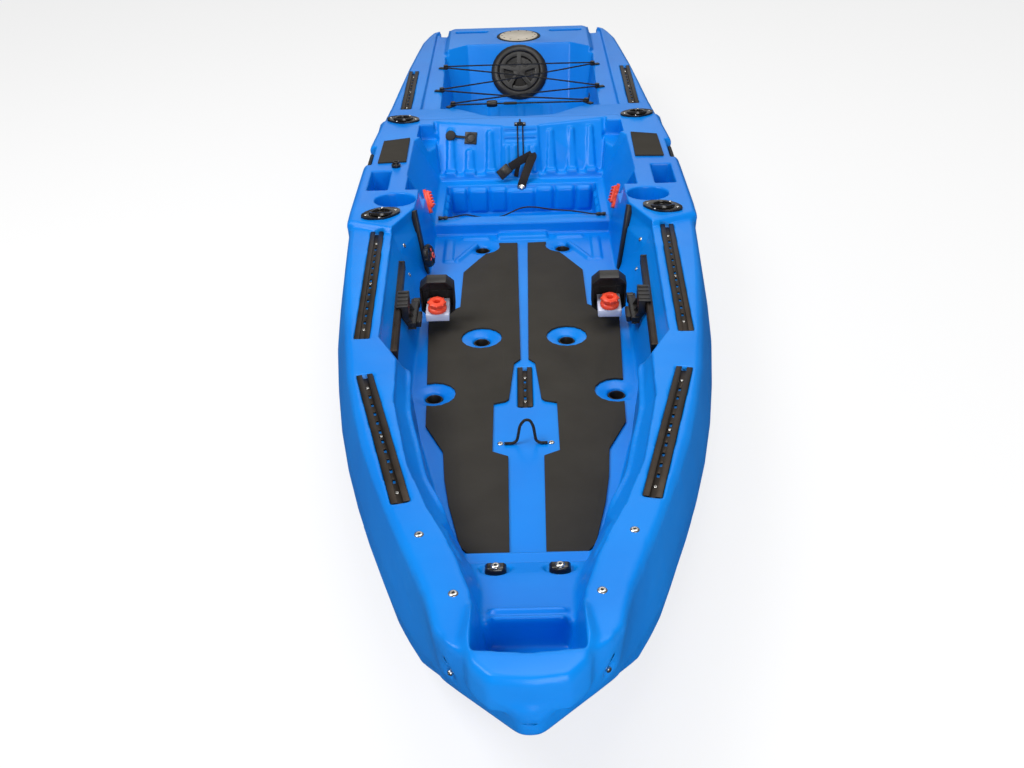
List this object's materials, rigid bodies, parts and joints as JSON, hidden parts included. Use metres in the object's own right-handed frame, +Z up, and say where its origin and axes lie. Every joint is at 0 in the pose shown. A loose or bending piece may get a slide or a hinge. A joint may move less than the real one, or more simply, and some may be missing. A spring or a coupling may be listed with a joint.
{
  "type": "fishing kayak",
  "caption": "Sit-on-top fishing kayak: moulded hull with foot, seat and tank wells, slotted gear tracks, rod holders, hatches and sliding foot pedals.",
  "frame": {"origin": "middle of the hull's footprint, on the ground under its flat bottom", "axes": "+Z up, -Y to the bow and +Y to the stern, +X to the paddler's left"},
  "size_m": [0.8964, 3.4, 0.308],
  "materials": {
    "hull": "rotomoulded polyethylene, bright blue, satin with a fine moulded grain",
    "foam": "brushed closed-cell foam, charcoal",
    "black_plastic": "moulded nylon, black, satin",
    "track": "extruded rail, dark brown-black, satin",
    "steel": "stainless steel, bright",
    "orange": "moulded plastic, orange-red",
    "pale": "moulded plastic, pale lavender grey",
    "lid": "moulded plastic, warm grey",
    "cord": "braided elastic cord, black",
    "strap": "woven webbing, black",
    "rubber": "moulded rubber, black"
  },
  "bodies": {
    "hull": {"hull": "hull", "deck_pad_right": "foam", "deck_pad_left": "foam", "armrest_pad_right": "foam", "armrest_pad_left": "foam", "rod_holder_fore_right": "black_plastic", "rod_holder_fore_left": "black_plastic", "rod_holder_aft_right": "black_plastic", "rod_holder_aft_left": "black_plastic", "tank_hatch_ring": "black_plastic", "bungee_hook_fore_right": "black_plastic", "bungee_hook_fore_left": "black_plastic", "bungee_hook_mid_right": "black_plastic", "bungee_hook_mid_left": "black_plastic", "bungee_hook_aft_right": "black_plastic", "bungee_hook_aft_left": "black_plastic", "strap_eyelet": "black_plastic", "strap_buckle": "black_plastic", "power_socket": "black_plastic", "side_strip_right": "black_plastic", "side_strip_left": "black_plastic", "bow_tie_down_right": "black_plastic", "bow_tie_down_left": "black_plastic", "cable_gland": "black_plastic", "gear_track_fore_right": "track", "gear_track_fore_left": "track", "gear_track_mid_right": "track", "gear_track_mid_left": "track", "gear_track_aft_right": "track", "gear_track_aft_left": "track", "gear_track_centre": "track", "pedal_rail_right": "track", "pedal_rail_left": "track", "strap_bolt": "steel", "tank_bungee": "cord", "seat_well_cord": "cord", "strap_cord": "cord", "seat_strap": "strap", "floor_strap": "strap", "stern_hatch_ring": "rubber"},
    "tank_hatch_lid": {"tank_hatch_lid": "black_plastic"},
    "stern_hatch_lid": {"stern_hatch_lid": "lid"},
    "steering_dial": {"steering_dial": "black_plastic"},
    "socket_cap": {"socket_cap": "rubber"},
    "cord_lock": {"cord_lock": "black_plastic"},
    "pedal_carriage_right": {"pedal_carriage_right": "black_plastic"},
    "foot_pedal_right": {"foot_pedal_right": "black_plastic", "pedal_block_right": "pale"},
    "pedal_knob_right": {"pedal_knob_right": "orange"},
    "seat_lock_lever_right": {"seat_lock_lever_right": "orange"},
    "side_handle_right": {"side_handle_right": "rubber"},
    "pedal_carriage_left": {"pedal_carriage_left": "black_plastic"},
    "foot_pedal_left": {"foot_pedal_left": "black_plastic", "pedal_block_left": "pale"},
    "pedal_knob_left": {"pedal_knob_left": "orange"},
    "seat_lock_lever_left": {"seat_lock_lever_left": "orange"},
    "side_handle_left": {"side_handle_left": "rubber"}
  },
  "joints": [
    {"name": "tank_hatch_turn", "type": "hinge", "parent": "hull", "child": "tank_hatch_lid", "pos_m": [0, 1.3957, 0.195], "axis": [0, -0.8093, 0.5874], "range_deg": [0, 90]},
    {"name": "stern_hatch_turn", "type": "hinge", "parent": "hull", "child": "stern_hatch_lid", "pos_m": [0, 1.56298, 0.272], "axis": [0, 0, 1], "continuous": true},
    {"name": "steering_dial_turn", "type": "hinge", "parent": "hull", "child": "steering_dial", "pos_m": [-0.25058, -0.09572, 0.16867], "axis": [0.9592, -0.1998, 0.1998], "range_deg": [-70, 70]},
    {"name": "socket_cap_swing", "type": "hinge", "parent": "hull", "child": "socket_cap", "pos_m": [-0.14985, 0.54839, 0.25], "axis": [-0.1519, -0.8007, 0.5796], "range_deg": [-50, 0]},
    {"name": "cord_lock_slide", "type": "slide", "parent": "hull", "child": "cord_lock", "axis": [1, 0, 0], "range_m": [-0.08, 0.2]},
    {"name": "pedal_slide_right", "type": "slide", "parent": "hull", "child": "pedal_carriage_right", "axis": [-0.0432, 0.9991, 0], "range_m": [-0.185, 0.15]},
    {"name": "pedal_tilt_right", "type": "hinge", "parent": "pedal_carriage_right", "child": "foot_pedal_right", "pos_m": [-0.2535, -0.3782, 0.182], "axis": [1, 0, 0], "range_deg": [-15, 25]},
    {"name": "pedal_knob_turn_right", "type": "hinge", "parent": "foot_pedal_right", "child": "pedal_knob_right", "pos_m": [-0.20155, -0.40163, 0.18093], "axis": [0, -0.1392, 0.9903], "continuous": true},
    {"name": "seat_lever_turn_right", "type": "hinge", "parent": "hull", "child": "seat_lock_lever_right", "pos_m": [-0.26203, 0.1513, 0.188], "axis": [-0.9353, 0, -0.3538], "range_deg": [0, 75]},
    {"name": "side_handle_swing_right", "type": "hinge", "parent": "hull", "child": "side_handle_right", "pos_m": [-0.43175, 0.3273, 0.24], "axis": [0, -1, 0], "range_deg": [0, 100]},
    {"name": "pedal_slide_left", "type": "slide", "parent": "hull", "child": "pedal_carriage_left", "axis": [0.0432, 0.9991, 0], "range_m": [-0.185, 0.15]},
    {"name": "pedal_tilt_left", "type": "hinge", "parent": "pedal_carriage_left", "child": "foot_pedal_left", "pos_m": [0.2535, -0.3782, 0.182], "axis": [1, 0, 0], "range_deg": [-15, 25]},
    {"name": "pedal_knob_turn_left", "type": "hinge", "parent": "foot_pedal_left", "child": "pedal_knob_left", "pos_m": [0.20155, -0.40163, 0.18093], "axis": [0, -0.1392, 0.9903], "continuous": true},
    {"name": "seat_lever_turn_left", "type": "hinge", "parent": "hull", "child": "seat_lock_lever_left", "pos_m": [0.26203, 0.1513, 0.188], "axis": [-0.9353, 0, 0.3538], "range_deg": [0, 75]},
    {"name": "side_handle_swing_left", "type": "hinge", "parent": "hull", "child": "side_handle_left", "pos_m": [0.43175, 0.3273, 0.24], "axis": [0, 1, 0], "range_deg": [0, 100]}
  ]
}
